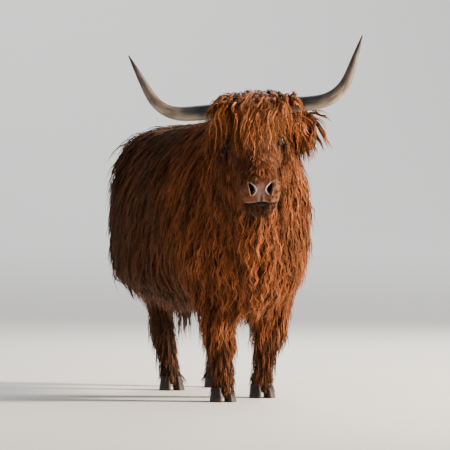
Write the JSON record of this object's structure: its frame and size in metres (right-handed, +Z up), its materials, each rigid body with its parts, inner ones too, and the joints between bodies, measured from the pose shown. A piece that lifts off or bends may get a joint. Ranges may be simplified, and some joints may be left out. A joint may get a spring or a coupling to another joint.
{
  "type": "highland cow",
  "caption": "Standing long-haired highland cow with wide upswept horns, a still life-size model.",
  "frame": {"origin": "on the floor under the middle of the cow's outline, which its horns and muzzle and tail set", "axes": "+Z up, -Y the way the cow faces, +X its left side"},
  "size_m": [0.972, 2.0572, 1.5037],
  "materials": {
    "coat": "shaggy red-brown hair, paler and more golden at the tips of the locks",
    "long_hair": "long wavy red-gold locks of the forelock and the tail's switch",
    "nose": "moist pinkish grey skin of the muzzle",
    "horn": "cream horn, grey and streaked at the root, dark at the tip",
    "hoof": "dark dull hoof horn",
    "eye": "wet dark brown eyeball"
  },
  "bodies": {
    "root": {"claw_front_left_left": "hoof", "claw_front_left_right": "hoof", "claw_front_right_left": "hoof", "claw_front_right_right": "hoof", "claw_hind_left_left": "hoof", "claw_hind_left_right": "hoof", "claw_hind_right_left": "hoof", "claw_hind_right_right": "hoof", "ear_left": "coat", "ear_right": "coat", "eye_left": "eye", "eye_right": "eye", "forelock": "long_hair", "head": "coat", "horn_left": "horn", "horn_right": "horn", "leg_front_left": "coat", "leg_front_right": "coat", "leg_hind_left": "coat", "leg_hind_right": "coat", "neck": "coat", "tail": "coat", "tail_switch": "long_hair", "trunk": "coat"}
  },
  "joints": []
}
